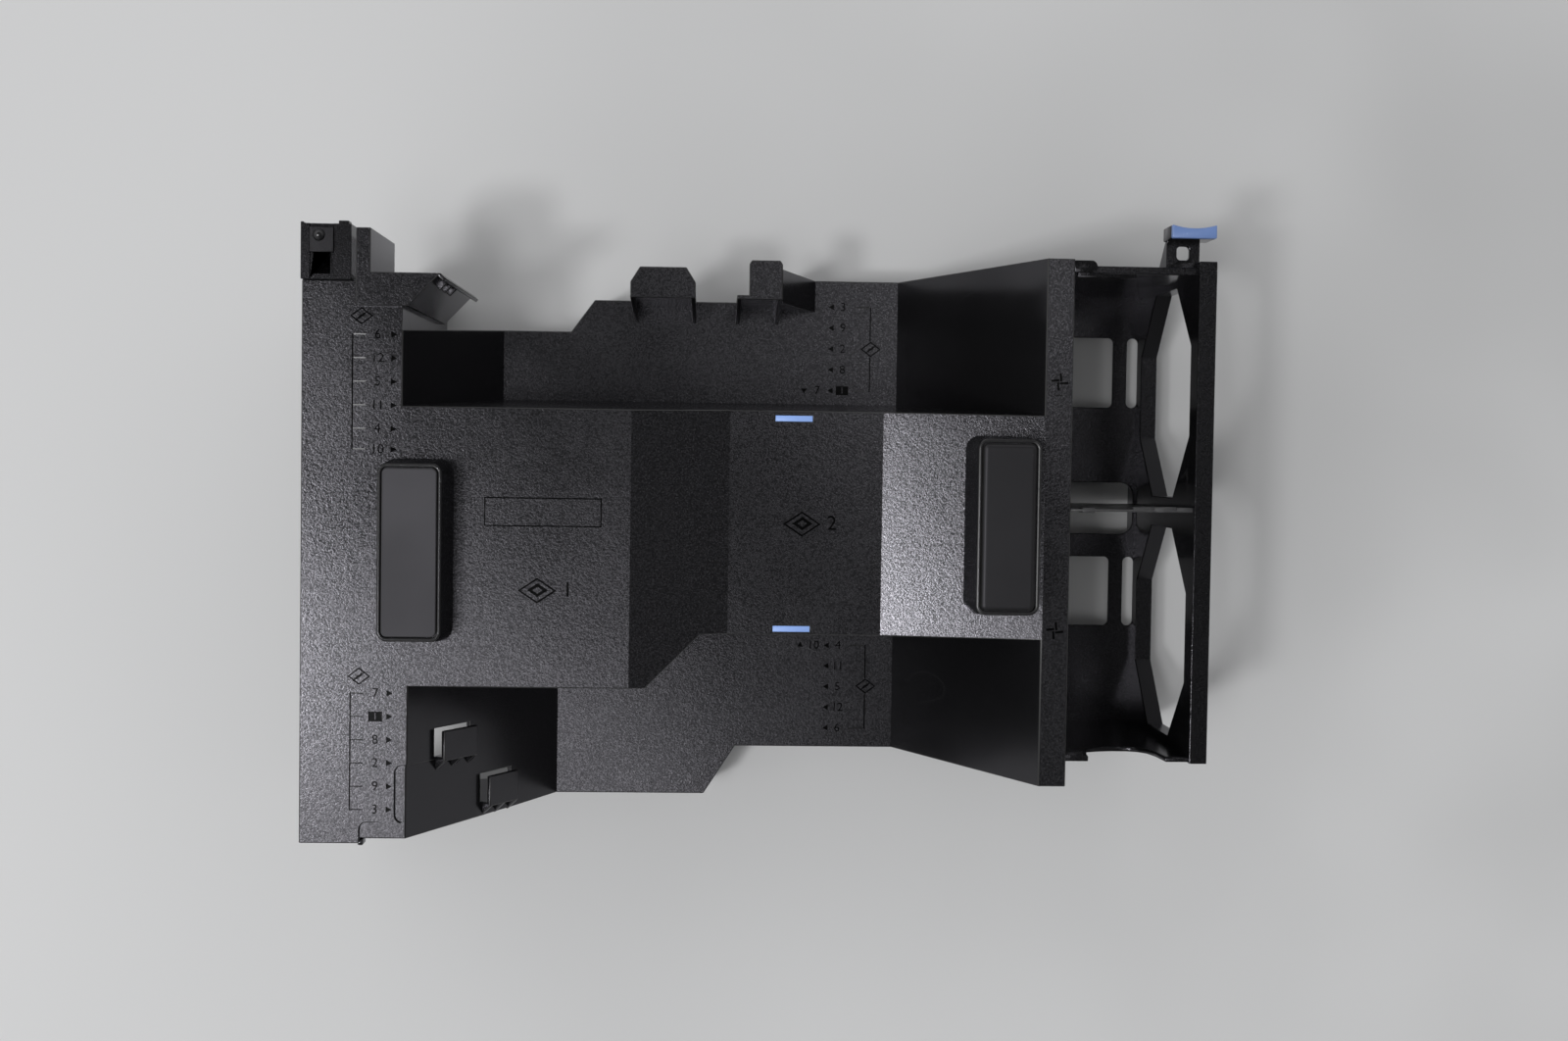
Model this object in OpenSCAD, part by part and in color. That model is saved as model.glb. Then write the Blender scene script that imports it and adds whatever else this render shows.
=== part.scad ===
// Server air baffle shroud: a bottomless moulded duct that leads the air of two
// fans over two processor bays, with low decks over the memory on both sides,
// a wide rear plenum, two padded bosses and an open-topped fan cage.
// X runs from the rear plenum to the fan cage, Y across the duct, and Z up from
// the surface the shroud stands on.

/* [Cover shell] */
// Wall thickness of the cover and the fan cage
wall = 2.2; // [1.8:0.1:2.8]
// Height of the plenum roof, the first bay and the front rim
roof_h = 124; // [112:1:136]
// How far the second bay's roof lies below the first
bay_drop = 12; // [8:1:15]
// Height of the north deck
north_deck_h = 32.5; // [28:0.5:40]
// Height of the south deck
south_deck_h = 33.5; // [28:0.5:40]

/* [Rear plenum] */
// Length of the plenum roof along X, north of the channel
plenum_l = 40; // [34:1:46]
// Extra length of the plenum roof, south of the channel
plenum_step = 3; // [0:0.5:6]
// Reach of the plenum to the north of the divider
plenum_north = 92.5; // [88:0.5:98]
// Reach of the plenum to the south of the divider
plenum_south = 136.5; // [132:0.5:142]
// Depth of the recessed corner below the roof
recess_d = 1.2; // [0.6:0.1:1.8]

/* [Processor channel] */
// Reach of the channel roof to the north
channel_north = 39.6; // [34:0.2:44]
// Reach of the first bay to the south
channel_south = 73; // [68:0.5:78]
// Reach of the second bay to the south
narrow_south = 51.5; // [46:0.5:56]
// Draft of the channel's north wall in degrees
wall_draft = 3.6; // [1:0.2:5]
// End of the first bay's flat roof
bay1_end = 131.5; // [125:0.5:136]
// Length of the slope between the bays
bay_slope_l = 39.7; // [34:0.1:46]
// Length of the second bay's flat roof
bay2_l = 62.9; // [56:0.1:70]

/* [Side decks] */
// Run of the steep north ramp
north_ramp_l = 30; // [24:1:36]
// Run of the steep south ramp
south_ramp_l = 52.8; // [46:0.2:60]
// Start of both fan ramps
fan_ramp_x = 246.8; // [240:0.2:252]
// Reach of the north deck beside the first bay
north_deck_in = 76.4; // [72:0.2:82]
// Reach of the north deck beside the tabs
north_deck_mid = 90.7; // [86:0.1:94]
// Reach of the north deck next to the fan ramp
north_deck_out = 101; // [98:0.5:104]
// Reach of the south deck beside the first bay
south_deck_in = 131.5; // [126:0.5:134]
// Reach of the south deck beside the second bay
south_deck_out = 109.7; // [104:0.1:113]

/* [Front rim and fan cage] */
// Start of the front rim
rim_x = 298.6; // [294:0.2:304]
// Width of the front rim
rim_w = 11.1; // [9:0.1:13]
// Reach of the front rim to the north
rim_north = 103.2; // [99:0.2:108]
// Reach of the front rim to the south
rim_south = 111.2; // [106:0.2:116]
// Clear length of the fan cage
cage_l = 50.9; // [46:0.1:56]
// Thickness of the cage's back wall over its flanges
back_w = 7.3; // [5:0.1:9]
// How far the back wall stays below the rim
back_drop = 0.6; // [0.2:0.2:4]
// How far the cage's end walls stay below the rim
end_drop = 5; // [3:0.5:8]
// Reach of the cage's south end
cage_south = 101.6; // [99:0.2:104]
// Height of the cage floor's top
floor_h = 16; // [12:0.5:20]
// Width across the flats of the octagonal fan openings
fan_flats = 89; // [80:1:92]
// Distance from the divider to the near flat of each opening
fan_gap = 6.6; // [5:0.2:9]
// Height of the lowest flat of the openings
fan_low = 22.7; // [20:0.1:26]
// Thickness of the divider sheet
divider_t = 1; // [0.8:0.1:1.6]

/* [Bosses and pads] */
// Height of both boss tops
boss_h = 145; // [140:1:150]
// Length of both bosses across the duct, at the top
boss_w = 69.6; // [60:0.2:76]
// Width of both bosses along the duct, at the top
boss_l = 25; // [22:0.2:28]
// Rim left round the pad
boss_rim = 1.5; // [1.2:0.1:2.4]
// Depth of the pocket that holds the pad
pad_pocket = 2.4; // [1.6:0.1:3.2]
// Height that the pad stands proud of its boss
pad_proud = 0.4; // [0.2:0.1:1]
// Clearance round pads and other inlaid pieces
inlay_gap = 0.3; // [0.2:0.05:0.4]

/* [Hood and tabs] */
// Rise of the corner hood and the bracket over the roof
hood_rise = 3; // [2:0.5:5]
// Height of the hood's leg wall foot
leg_foot_h = 71; // [60:1:80]
// Height of the hood's duct foot
duct_foot_h = 24; // [20:1:30]
// Height of the two north tabs
tab_h = 81.5; // [70:0.5:90]
// Thickness of tab panels and clips
tab_t = 1.8; // [1.4:0.1:2.2]
// Length of the blue touch marks
mark_l = 15.2; // [12:0.2:18]
// Width of the blue touch marks
mark_w = 2.4; // [1.6:0.1:3]

/* [Hidden] */
$fn = 48;

// Reach of cutting forms past the faces they open
over = 1;
// Places along the duct
south_ramp_x = plenum_l + plenum_step;
bay2_x = bay1_end + bay_slope_l;
bay2_end = bay2_x + bay2_l;
bay2_h = roof_h - bay_drop;
cage_x = rim_x + rim_w;
back_x = cage_x + cage_l;
cage_end = back_x + back_w;
// Heights that follow the roof
hood_h = roof_h + hood_rise;
back_h = roof_h - back_drop;
end_h = roof_h - end_drop;

// Jog in the plenum's south edge and the recessed corner
jog_x = 24;
jog_w = 1.8;
recess_x = 38.2;
recess_north = 105;
recess_south = 128;
recess_fade = 23;
recess_r = 3;

// Diagonal corners of the decks and of the channel
channel_diag_x = 138;
channel_diag_l = 22;
north_diag_x = 100;
north_diag_l = 10.4;
wedge_x = 193;
wedge_l = 16.5;
wedge_south = 87;
south_diag_x = 162;
south_diag_l = 14;
north_ramp_top = 70;

// Bosses: top corners nearest the origin of each
rear_boss = [34, -52.8];
front_boss = [rim_x - 29.7, -39.8];
boss_r = 4;
boss_spread = 2;
pad_r = 2.2;
pad_l = boss_l - 2 * boss_rim - 2 * inlay_gap;
pad_w = boss_w - 2 * boss_rim - 2 * inlay_gap;

// Hood outline
hood_x = 21.8;
hood_south = 79.1;
hood_point_x = 55.2;
hood_leg_w = 5.8;
hood_north = 110;
hood_r = 2;
duct_step = 2.2;
flange_t = 1.6;
flange_w = 3;
flange_ribs = [60, 74, 88];
rib_l = 4;
rib_in = 0.4;

// Corner bracket in the notch of the plenum
bracket_l = 20;
bracket_south = 89.2;
bracket_north = 111.3;
bracket_d = 30;
bracket_wall = 1.8;
block_at = [3.7, 99.9];
block_l = 9.4;
block_w = 9.9;
block_proud = 0.8;
block_deep = 6;
stud_at = [7.4, 106.6];
stud_r = 2.4;
stud_rise = 1.6;
stud_deep = 3;
pin_r = 1.2;
channel_d = 0.6;
ear_x = 15;
ear_l = 4;
ear_w = 1.2;
ear_h = 6;
bracket_hole_at = [5.3, 91.4];
bracket_hole = [6.3, 8.4];
bracket_hole_d = 26;
bracket_core = bracket_hole_at.y + bracket_hole.y + bracket_wall;

// Tabs on the north deck
tab1_x = 128.4;
tab1_l = 27.7;
tab1_lip = 11.3;
tab1_cut = 4;
tab2_x = 173.7;
tab2_l = 19.3;
tab2_lip_x = 178.8;
tab2_lip = 14.8;
tab_y = 88.1;
tab_foot = 7.5;
// Length of a lip's cut corner for each unit of its width
lip_slant = 1.6;

// Cable clips on the south ramp: distance down the ramp, start across it
clip_a = [19, -105.5];
clip_b = [50, -129];
clip_a_size = [22, 12.5];
clip_b_size = [20, 13];
clip_lift = 4;
clip_rib = 4.5;
clip_ease = 1.5;

// Cage details
cage_north = 101;
end_wall_t = 3.2;
window_n = [46.6, 78.7];
window_s = [-54.5, -22.6];
window_a = [cage_x + 12.3, cage_x + 39.3];
window_b = back_x - 5.2;
window_r = 2.5;
centre_window = [cage_x + 8.3, back_x - 1.1];
centre_half = 11.9;
centre_r = 6;
lug_l = 9.3;
lug_t = 5;
lug_h = 16;
lug_drop = 0.6;
lug_up = 4.5;
// South end's notch for the fan leads: places along the cage and depths below the end's top
notch = [[10.3, 0], [10.9, 7], [14.3, 23], [19.8, 25.5], [26.3, 27], [32.3, 26.8],
    [36.3, 25], [39.3, 21], [41.1, 13], [42.3, 0]];
hook_l = 8;
hook_t = 3;
hook_up = 9;
shelf = [2.5, 24.5];
shelf_t = 1.6;
shelf_w = 1.4;
foot_window = 1.6;
divider_y = 1.6;
divider_drop = 3;
divider_rail = [24.6, 9];
divider_lug = [5.6, 5.1];
divider_notches = [8.4, 17.6];
divider_notch_l = 1.8;
latch_x = back_x - 12;
latch_l = 13.7;
latch_z = roof_h - 10;
latch_cheek_h = 14;
latch_slot = [5.2, 5.6];
latch_slot_y = 3.3;
latch_slot_r = 1.6;
cap_l = 18;
cap_w = 5.4;
cap_t = 3;
cap_dip = 1.4;
cap_top = roof_h + 6;
cap_x = latch_x + (latch_l - cap_l) / 2 + 1.2;
cap_y = cage_north + 10.7;

// Blue marks
mark_x = bay2_x + 18.6;
mark_in = 1.2;
mark_t = 0.8;
mark_proud = 0.1;

// Small hook on the plenum's south wall
hook_reach = 1.4;
hook_w = 2;
hook_z = [roof_h - 10, roof_h - 3];

// The row's frame: middle of the base
centre = [cage_end / 2, (cap_y + cap_w - plenum_south - hook_reach) / 2];

function unit(v) = v / norm(v);
// One corner of an anticlockwise outline, moved inwards by d from both its sides
function inset_corner(a, b, c, d) =
    let (u = unit(b - a), w = unit(c - b), n = [-u.y, u.x], m = [-w.y, w.x])
    b + d * (n + m) / (1 + n * m);
function inset(pts, d) = let (n = len(pts))
    [for (i = [0:n - 1]) inset_corner(pts[(i + n - 1) % n], pts[i], pts[(i + 1) % n], d)];

module place() translate([-centre.x, -centre.y, 0]) children();

// Plan outline raised from z0 to z1
module prism_z(pts, z0, z1) translate([0, 0, z0]) linear_extrude(z1 - z0) polygon(pts);
// Side profile in X and Z, spread from y0 to y1
module prism_y(pts, y0, y1)
    translate([0, y1, 0]) rotate([90, 0, 0]) linear_extrude(y1 - y0) polygon(pts);
// Cross section in Y and Z, drawn out from x0 to x1
module prism_x(pts, x0, x1)
    translate([x0, 0, 0]) rotate([90, 0, 90]) linear_extrude(x1 - x0) polygon(pts);

module rounded_slab(l, w, h, r) {
    translate([r, 0, 0]) cube([l - 2 * r, w, h]);
    translate([0, r, 0]) cube([l, w - 2 * r, h]);
    for (x = [r, l - r], y = [r, w - r]) translate([x, y, 0]) cylinder(h = h, r = r);
}

// ---- Cover ----

// Roof line over the processor bays, from the plenum to the front rim
function channel_profile(low) = [
    [plenum_l / 2, low], [cage_x, low], [cage_x, roof_h], [rim_x, roof_h],
    [bay2_end, bay2_h], [bay2_x, bay2_h], [bay1_end, roof_h], [plenum_l / 2, roof_h]];
// Roof line of a side deck with its rear ramp and its fan ramp
function deck_profile(top_x, ramp_l, deck_h, low) = [
    [plenum_l / 2, low], [cage_x, low], [cage_x, roof_h], [rim_x, roof_h],
    [fan_ramp_x, deck_h], [top_x + ramp_l, deck_h], [top_x, roof_h], [plenum_l / 2, roof_h]];

channel_plan = [
    [plenum_l / 2, -channel_south], [channel_diag_x, -channel_south],
    [channel_diag_x + channel_diag_l, -narrow_south], [cage_x, -narrow_south],
    [cage_x, channel_north + roof_h], [plenum_l / 2, channel_north + roof_h]];
north_plan = [
    [plenum_l / 2, 0], [cage_x, 0], [cage_x, rim_north], [rim_x, rim_north],
    [fan_ramp_x, north_deck_out], [wedge_x, north_deck_out], [wedge_x, north_deck_mid],
    [north_diag_x + north_diag_l, north_deck_mid], [north_diag_x, north_deck_in],
    [plenum_l + north_ramp_l, north_deck_in], [plenum_l, north_ramp_top],
    [plenum_l / 2, north_ramp_top]];
south_plan = [
    [plenum_l / 2, -plenum_south + jog_w], [south_ramp_x, -plenum_south + jog_w],
    [south_ramp_x + south_ramp_l, -south_deck_in], [south_diag_x, -south_deck_in],
    [south_diag_x + south_diag_l, -south_deck_out], [fan_ramp_x, -south_deck_out],
    [rim_x, -rim_south], [cage_x, -rim_south], [cage_x, 0], [plenum_l / 2, 0]];

// Each form is the outside at t = 0 and the hollow at t = wall, open below
module channel_form(t, low) {
    lean = tan(wall_draft);
    section = [
        [-channel_south - over, low],
        [channel_north - t + lean * (roof_h - low), low],
        [channel_north - t, roof_h],
        [-channel_south - over, roof_h]];
    intersection() {
        prism_y(inset(channel_profile(low - t), t), -plenum_south, plenum_north);
        prism_x(section, 0, cage_x + over);
        prism_z(inset(channel_plan, t), low, roof_h);
    }
}

module deck_form(plan, profile, t, low)
    intersection() {
        prism_y(inset(profile, t), -plenum_south, rim_north);
        prism_z(inset(plan, t), low, roof_h);
    }

module plenum_form(t, low) {
    rear = t > 0 ? -over : 0;
    prism_z([
        [rear, -plenum_south + t], [jog_x - t, -plenum_south + t],
        [jog_x - t, -plenum_south + jog_w + t], [south_ramp_x - t, -plenum_south + jog_w + t],
        [south_ramp_x - t, -channel_south + t], [plenum_l - t, -channel_south + t],
        [plenum_l - t, plenum_north - t], [hood_x + t, plenum_north - t],
        [hood_x + t, bracket_south - t], [rear, bracket_south - t]], low, roof_h - t);
}

module shell_forms(t, low) {
    plenum_form(t, low);
    channel_form(t, low);
    deck_form(north_plan, deck_profile(plenum_l, north_ramp_l, north_deck_h, low - t), t, low);
    deck_form(south_plan, deck_profile(south_ramp_x, south_ramp_l, south_deck_h, low - t), t, low);
}

// Sloping cheek that closes the north deck's outer strip beside the second tab
module wedge_form(t, low)
    prism_y(inset([
        [wedge_x, low], [wedge_x + wedge_l, low], [wedge_x + wedge_l, north_deck_h],
        [wedge_x, tab_h]], t), wedge_south + t, north_deck_out - t);

module boss_form(at, grow, top, foot)
    hull() {
        translate([at.x - grow, at.y - grow, top - 0.1])
            rounded_slab(boss_l + 2 * grow, boss_w + 2 * grow, 0.1, boss_r + grow, $fn = 32);
        translate([at.x - grow - boss_spread, at.y - grow - boss_spread, foot])
            rounded_slab(boss_l + 2 * (grow + boss_spread), boss_w + 2 * (grow + boss_spread),
                0.1, boss_r + grow + boss_spread, $fn = 32);
    }

module pad_pocket_cut(at)
    translate([at.x + boss_rim, at.y + boss_rim, boss_h - pad_pocket])
        rounded_slab(boss_l - 2 * boss_rim, boss_w - 2 * boss_rim, pad_pocket + over,
            pad_r + inlay_gap);

// Octagon across the flats w, centred on [0, 0]
function octagon(w) = [for (i = [0:7]) w / 2 / cos(22.5) * [cos(22.5 + 45 * i), sin(22.5 + 45 * i)]];
fan_centre_y = fan_gap + fan_flats / 2;
fan_centre_z = fan_low + fan_flats / 2;

module fan_openings(x0, x1, grow)
    for (side = [-1, 1]) translate([0, side * fan_centre_y, fan_centre_z])
        prism_x(octagon(fan_flats + 2 * grow), x0, x1);

hood_outline = [
    [hood_x, hood_south], [plenum_l + duct_step, hood_south], [hood_point_x, plenum_north],
    [hood_x + hood_leg_w, plenum_north], [hood_x + hood_leg_w, hood_north],
    [hood_x, hood_north]];
hood_duct = [[plenum_l - wall, hood_south], [plenum_l + duct_step, hood_south],
    [hood_point_x, plenum_north], [plenum_l - wall, plenum_north]];

// Raised hood over the plenum's corner, with its duct foot and its leg wall
module hood() {
    difference() {
        prism_z(hood_outline, roof_h - wall, hood_h);
        translate([hood_x, hood_south, roof_h]) difference() {
            translate([-over, -over, 0]) cube([hood_r + over, hood_r + over, hood_h]);
            translate([hood_r, hood_r, -over]) cylinder(h = hood_h, r = hood_r);
        }
    }
    prism_z(hood_duct, duct_foot_h, roof_h);
    translate([hood_x + hood_leg_w - wall, plenum_north - wall, leg_foot_h])
        cube([wall, hood_north - plenum_north + wall, roof_h - leg_foot_h]);
    hood_flange();
}

module hood_hollow() {
    prism_z(inset(hood_outline, wall), roof_h - wall - over, hood_h - wall);
    prism_z(inset(hood_duct, wall), duct_foot_h - over, hood_h - wall);
}

// Flange down the outer end of the duct's slanted wall, with its short ribs
module hood_flange() {
    slant = atan2(plenum_north - hood_south, hood_point_x - plenum_l - duct_step);
    translate([hood_point_x, plenum_north, duct_foot_h]) rotate([0, 0, slant]) {
        translate([-flange_t, -flange_w, 0]) cube([flange_t, flange_w, hood_h - duct_foot_h]);
        for (z = flange_ribs) translate([-flange_t - rib_l, -flange_w + rib_in, z])
            cube([rib_l + 0.1, flange_w, tab_t]);
    }
}

module plenum_hook()
    translate([jog_x - hook_w / 2, -plenum_south - hook_reach, hook_z[0]])
        cube([hook_w, hook_reach + wall / 2, hook_z[1] - hook_z[0]]);

// Upright panel with a lip and two sloping cheeks, standing on the north deck
module deck_tab(x, l, lip_x, lip_l, lip, cut) {
    foot = north_deck_h - wall;
    translate([x, tab_y, foot]) cube([l, tab_t, tab_h - foot]);
    prism_z([
        [lip_x, tab_y], [lip_x + lip_l, tab_y], [lip_x + lip_l, tab_y + lip - cut * lip_slant],
        [lip_x + lip_l - cut, tab_y + lip], [lip_x + cut, tab_y + lip],
        [lip_x, tab_y + lip - cut * lip_slant]], tab_h - tab_t, tab_h);
    for (cheek_x = [x, x + l - tab_t])
        prism_x([[tab_y - tab_foot, foot], [tab_y + tab_t, foot], [tab_y + tab_t, tab_h],
            [tab_y, tab_h]], cheek_x, cheek_x + tab_t);
}

ramp_drop = roof_h - south_deck_h;
ramp_angle = atan2(ramp_drop, south_ramp_l);
// Children are placed with x down the south ramp, y across it and z off its face
module on_south_ramp()
    translate([south_ramp_x, 0, roof_h]) rotate([0, ramp_angle, 0]) children();

// Flap lifted off the ramp, carried by a wall and ribs on its south side
module ramp_clip(at, size)
    on_south_ramp() {
        translate([at.x, at.y, clip_lift - tab_t]) cube([size.x, size.y, tab_t]);
        translate([at.x, at.y, -wall / 2]) cube([size.x, tab_t, clip_lift + wall / 2]);
        for (i = [0:2])
            translate([at.x + i * (size.x - tab_t) / 2, at.y, 0])
                prism_x([[-clip_rib, -wall / 2], [0, -wall / 2], [0, clip_lift]], 0, tab_t);
    }

// Window in the ramp under the flap, which lets the flap be moulded
module clip_window(at, size)
    on_south_ramp() translate([at.x - clip_ease, at.y + tab_t, -wall - over])
        cube([size.x + clip_ease, size.y - tab_t + 1, wall + 2 * over]);

module recess_cut() {
    top = roof_h - recess_d;
    translate([recess_x, -recess_south, top])
        rounded_slab(south_ramp_x, recess_south - recess_north, over + recess_d, recess_r);
    translate([jog_x, -plenum_south - over, top])
        rounded_slab(south_ramp_x, plenum_south - recess_south + over, over + recess_d, recess_r);
    fade_x = south_ramp_x + recess_fade;
    fade_z = roof_h - recess_fade * tan(ramp_angle);
    prism_y([
        [recess_x + recess_r, top], [south_ramp_x - recess_d / 2, top], [fade_x, fade_z],
        [fade_x + over, fade_z + over], [fade_x, roof_h + over],
        [recess_x + recess_r, roof_h + over]],
        -plenum_south - over, -recess_north);
}

module shroud_cover() color([0.13, 0.13, 0.14]) place() {
    difference() {
        union() {
            difference() {
                shell_forms(0, 0);
                recess_cut();
            }
            wedge_form(0, north_deck_h - wall);
            boss_form(rear_boss, 0, boss_h, roof_h - wall);
            boss_form(front_boss, 0, boss_h, bay2_h - wall);
            hood();
            plenum_hook();
        }
        shell_forms(wall, -over);
        hood_hollow();
        wedge_form(wall, north_deck_h - 2 * wall);
        clip_window(clip_a, clip_a_size);
        clip_window(clip_b, clip_b_size);
        for (y = mark_ys) touch_mark(y, over);
        boss_form(rear_boss, -wall, boss_h - pad_pocket - wall, roof_h - wall - over);
        boss_form(front_boss, -wall, boss_h - pad_pocket - wall, bay2_h - 2 * wall);
        pad_pocket_cut(rear_boss);
        pad_pocket_cut(front_boss);
        fan_openings(cage_x - wall - over, cage_x + over, 0);
    }
    deck_tab(tab1_x, tab1_l, tab1_x, tab1_l, tab1_lip + tab_t, tab1_cut);
    deck_tab(tab2_x, tab2_l, tab2_lip_x, tab2_x + tab2_l - tab2_lip_x, tab2_lip + tab_t, 1);
    ramp_clip(clip_a, clip_a_size);
    ramp_clip(clip_b, clip_b_size);
}

// ---- Fan cage ----

module floor_window(x0, x1, y0, y1, r)
    translate([x0, y0, -over]) rounded_slab(x1 - x0, y1 - y0, floor_h + 2 * over, r);

module cage_floor() {
    difference() {
        translate([cage_x, -cage_south, floor_h - wall])
            cube([cage_l + wall, cage_south + cage_north, wall]);
        for (side = [window_n, window_s]) {
            floor_window(window_a[0], window_a[1], side[0], side[1], window_r);
            floor_window(window_b, back_x, side[0], side[1], window_r);
        }
        floor_window(centre_window[0], centre_window[1], -centre_half, centre_half, centre_r);
    }
}

// Skin on the fans' side, with flanges round its edge and a collar at each opening
module cage_back()
    difference() {
        union() {
            translate([back_x, -cage_south, 0])
                cube([wall, cage_south + rim_north, back_h]);
            difference() {
                translate([back_x, -cage_south, 0])
                    cube([back_w, cage_south + rim_north, back_h]);
                translate([back_x, -cage_south + wall, -over])
                    cube([back_w + over, cage_south + rim_north - 2 * wall, back_h - wall + over]);
            }
            fan_openings(back_x, cage_end, wall);
        }
        fan_openings(back_x - over, cage_end + over, 0);
        // Open feet below the floor slots
        for (side = [window_n, window_s])
            translate([back_x - over, side[0] - foot_window, -over])
                cube([back_w + 2 * over, side[1] - side[0] + 2 * foot_window,
                    floor_h - wall + over]);
    }

module north_end() {
    y = cage_north - end_wall_t;
    translate([cage_x, y, 0]) cube([cage_l + wall, wall, end_h]);
    // Rolled rim, shelf and lug along its top
    translate([cage_x + lug_l, y, end_h - lug_up]) cube([cage_l - lug_l, end_wall_t, lug_up]);
    translate([cage_x + shelf[0], y - shelf_w, end_h - lug_up])
        cube([shelf[1], shelf_w + 0.1, shelf_t]);
    translate([cage_x, y, roof_h - lug_h]) rounded_lug();
}

// Lug that holds the end wall against the cover's rim wall
module rounded_lug() {
    cube([lug_l - lug_t / 2 + 0.1, lug_t, lug_h - lug_drop]);
    translate([lug_l - lug_t / 2, lug_t / 2, 0]) cylinder(h = lug_h - lug_drop, r = lug_t / 2);
}

module south_end()
    difference() {
        union() {
            translate([cage_x, -cage_south, 0]) cube([cage_l + wall, wall, end_h]);
            translate([cage_x, -cage_south + wall / 2, end_h - hook_up]) cube([hook_l, hook_t, hook_up]);
        }
        translate([0, -cage_south - over, 0])
            prism_y([for (p = concat([[notch[0].x, -over]], notch, [[notch[len(notch) - 1].x, -over]]))
                [cage_x + p.x, end_h - p.y]], 0, wall + 2 * over);
    }

// Flexible arm outside the north end, with the slot and the seat of the blue cap
module latch_arm() {
    root_y = cage_north - wall;
    difference() {
        union() {
            translate([latch_x, root_y, latch_z]) cube([latch_l, cap_y - root_y + 1, wall]);
            for (x = [latch_x, latch_x + latch_l - wall])
                prism_x([[root_y, latch_z - latch_cheek_h], [cap_y + 1, latch_z],
                    [cap_y + 1, latch_z + wall], [root_y, latch_z + wall]], x, x + wall);
        }
        translate([latch_x + (latch_l - latch_slot.x) / 2, cage_north + latch_slot_y, latch_z - over])
            rounded_slab(latch_slot.x, latch_slot.y, wall + 2 * over, latch_slot_r);
    }
    finger_pad(latch_z, cap_top - cap_t);
}

module fan_cage() color([0.08, 0.08, 0.085]) place() {
    cage_floor();
    cage_back();
    north_end();
    south_end();
    latch_arm();
}

// Sheet between the fans, with a doubled rail by the back wall and a lug by the rim
module fan_divider() color([0.3, 0.3, 0.31]) place() {
    y = divider_y - divider_t / 2;
    top = roof_h - divider_drop;
    translate([cage_x, y, floor_h]) cube([cage_l, divider_t, top - floor_h]);
    difference() {
        translate([back_x - divider_rail.x, y, top - divider_rail.y])
            cube([divider_rail.x, 2 * divider_t, divider_rail.y]);
        for (d = divider_notches) translate([back_x - d, y + divider_t, top - divider_t])
            cube([divider_notch_l, divider_t + over, divider_t + over]);
    }
    translate([cage_x + divider_lug[0], y - divider_t / 2, top - divider_rail.y])
        cube([divider_lug[1], 2 * divider_t, divider_rail.y]);
}

// ---- Inlaid pieces ----

module pad(at)
    translate([at.x + boss_rim + inlay_gap, at.y + boss_rim + inlay_gap, boss_h - pad_pocket])
        rounded_slab(pad_l, pad_w, pad_pocket + pad_proud, pad_r);
module rear_pad() color([0.2, 0.2, 0.21]) place() pad(rear_boss);
module front_pad() color([0.2, 0.2, 0.21]) place() pad(front_boss);

mark_ys = [channel_north - mark_in - mark_w, mark_in - narrow_south];
module touch_mark(y, rise)
    translate([mark_x, y, bay2_h + mark_proud - mark_t]) cube([mark_l, mark_w, mark_t + rise]);
module north_touch_mark() color([0.4, 0.55, 0.9]) place() touch_mark(mark_ys[0], 0);
module south_touch_mark() color([0.4, 0.55, 0.9]) place() touch_mark(mark_ys[1], 0);

// Finger pad, hollowed on its outer side, from z0 up to z1
module finger_pad(z0, z1) {
    r = (cap_l * cap_l / 4 + cap_dip * cap_dip) / (2 * cap_dip);
    difference() {
        translate([cap_x, cap_y, z0]) cube([cap_l, cap_w, z1 - z0]);
        translate([cap_x + cap_l / 2, cap_y + cap_w + r - cap_dip, z0 - over])
            cylinder(h = z1 - z0 + 2 * over, r = r, $fn = 96);
    }
}
module latch_cap() color([0.35, 0.5, 0.85]) place() finger_pad(cap_top - cap_t, cap_top);

// ---- Corner bracket ----

module corner_bracket() color([0.1, 0.1, 0.1]) place() {
    width = bracket_north - bracket_south;
    difference() {
        translate([0, bracket_south, hood_h - bracket_d]) cube([bracket_l, width, bracket_d]);
        translate([bracket_wall, bracket_core, hood_h - bracket_d - over])
            cube([bracket_l - 2 * bracket_wall, bracket_north - bracket_wall - bracket_core,
                bracket_d - block_deep - bracket_wall + over]);
        translate([block_at.x, bracket_south - over, hood_h - channel_d])
            cube([block_l, width + 2 * over, channel_d + over]);
        translate([bracket_hole_at.x, bracket_hole_at.y, hood_h - bracket_hole_d])
            cube([bracket_hole.x, bracket_hole.y, bracket_hole_d + over]);
        translate([block_at.x, block_at.y, hood_h - block_deep])
            cube([block_l, block_w, block_deep + over]);
    }
    translate([ear_x, bracket_north - 1, hood_h - ear_h]) cube([ear_l, 1 + ear_w, ear_h]);
    translate([0, bracket_north - 1, hood_h - ear_h]) cube([ear_w, 1 + ear_w / 2, ear_h]);
}

module switch_block() color([0.25, 0.25, 0.25]) place()
    difference() {
        translate([block_at.x, block_at.y, hood_h - block_deep])
            cube([block_l, block_w, block_deep + block_proud]);
        translate([stud_at.x, stud_at.y, hood_h + block_proud - stud_deep])
            cylinder(h = stud_deep + over, r = pin_r);
    }

// Pin with a domed head
module bracket_stud() color([0.3, 0.3, 0.3]) place()
    translate([stud_at.x, stud_at.y, hood_h + block_proud]) {
        dome_r = (stud_r * stud_r + stud_rise * stud_rise) / (2 * stud_rise);
        translate([0, 0, -stud_deep]) cylinder(h = stud_deep, r = pin_r);
        rotate_extrude() intersection() {
            square([stud_r, stud_rise]);
            translate([0, stud_rise - dome_r]) circle(r = dome_r);
        }
    }

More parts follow.
